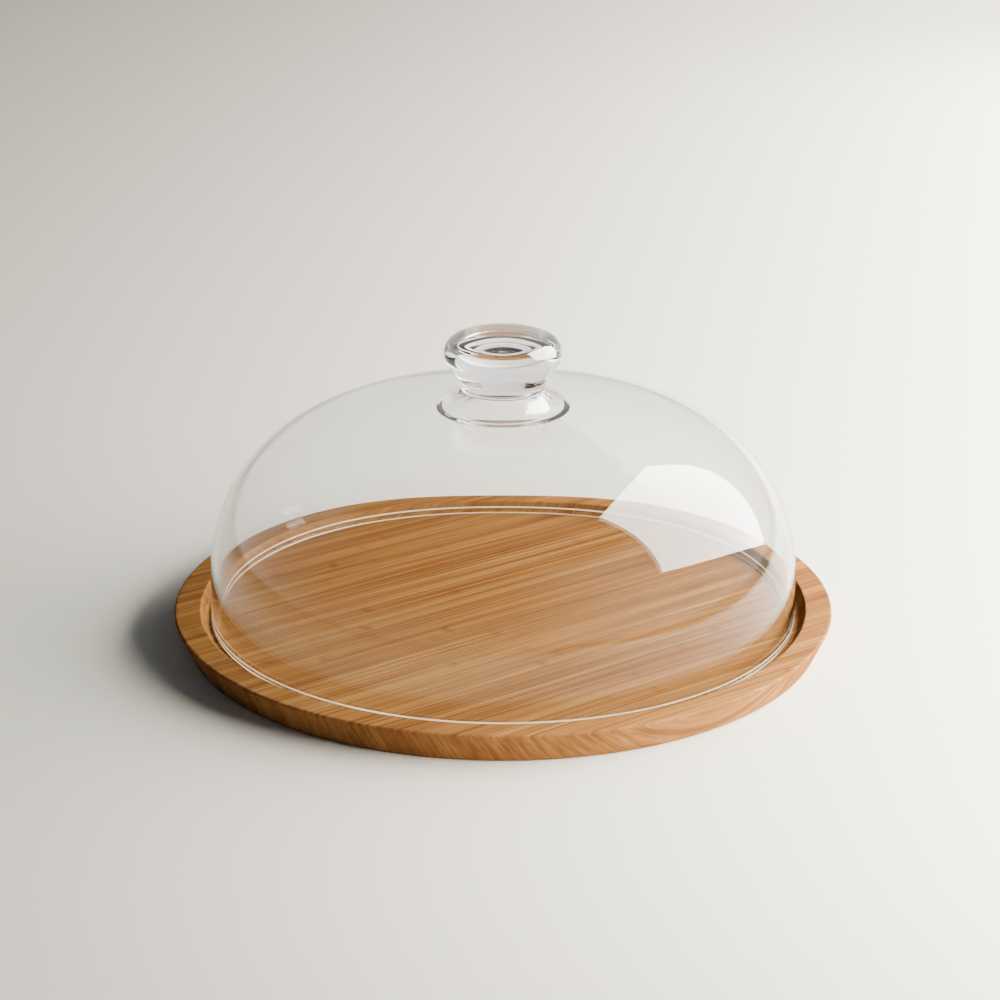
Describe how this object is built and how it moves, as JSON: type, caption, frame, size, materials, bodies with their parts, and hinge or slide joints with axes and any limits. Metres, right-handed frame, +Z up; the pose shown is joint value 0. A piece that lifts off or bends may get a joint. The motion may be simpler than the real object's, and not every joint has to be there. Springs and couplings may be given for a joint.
{
  "type": "bell jar dome",
  "caption": "Low clear glass dome with a solid glass knob, standing in the recess of a round board of edge-glued bamboo strips.",
  "frame": {"origin": "centre of the board's underside, on the common axis of the board, dome and knob", "axes": "+Z up along the axis of the dome; the bamboo strips run 37 degrees from +X towards +Y"},
  "size_m": [0.2988, 0.2988, 0.1433],
  "materials": {
    "bamboo": "edge-glued bamboo, sanded smooth, matt oil",
    "clear_glass": "clear polished soda-lime glass, fire-polished rim"
  },
  "bodies": {
    "board": {"bamboo_strip_01": "bamboo", "bamboo_strip_02": "bamboo", "bamboo_strip_03": "bamboo", "bamboo_strip_04": "bamboo", "bamboo_strip_05": "bamboo", "bamboo_strip_06": "bamboo", "bamboo_strip_07": "bamboo", "bamboo_strip_08": "bamboo", "bamboo_strip_09": "bamboo", "bamboo_strip_10": "bamboo", "bamboo_strip_11": "bamboo", "bamboo_strip_12": "bamboo", "bamboo_strip_13": "bamboo", "bamboo_strip_14": "bamboo", "bamboo_strip_15": "bamboo", "bamboo_strip_16": "bamboo", "bamboo_strip_17": "bamboo", "bamboo_strip_18": "bamboo", "bamboo_strip_19": "bamboo", "bamboo_strip_20": "bamboo", "bamboo_strip_21": "bamboo", "bamboo_strip_22": "bamboo", "bamboo_strip_23": "bamboo", "bamboo_strip_24": "bamboo", "bamboo_strip_25": "bamboo", "bamboo_strip_26": "bamboo", "bamboo_strip_27": "bamboo", "bamboo_strip_28": "bamboo", "bamboo_strip_29": "bamboo", "bamboo_strip_30": "bamboo", "bamboo_strip_31": "bamboo", "bamboo_strip_32": "bamboo", "bamboo_strip_33": "bamboo", "bamboo_strip_34": "bamboo", "bamboo_strip_35": "bamboo", "bamboo_strip_36": "bamboo", "bamboo_strip_37": "bamboo", "bamboo_strip_38": "bamboo", "bamboo_strip_39": "bamboo", "bamboo_strip_40": "bamboo", "bamboo_strip_41": "bamboo", "bamboo_strip_42": "bamboo", "bamboo_strip_43": "bamboo", "bamboo_strip_44": "bamboo", "bamboo_strip_45": "bamboo", "bamboo_strip_46": "bamboo", "bamboo_strip_47": "bamboo", "bamboo_strip_48": "bamboo", "bamboo_strip_49": "bamboo", "bamboo_strip_50": "bamboo", "bamboo_strip_51": "bamboo", "bamboo_strip_52": "bamboo"},
    "cover": {"glass_dome": "clear_glass", "glass_knob": "clear_glass"}
  },
  "joints": [
    {"name": "dome_lift", "type": "slide", "parent": "board", "child": "cover", "axis": [0, 0, 1], "range_m": [0, 0.15]}
  ]
}
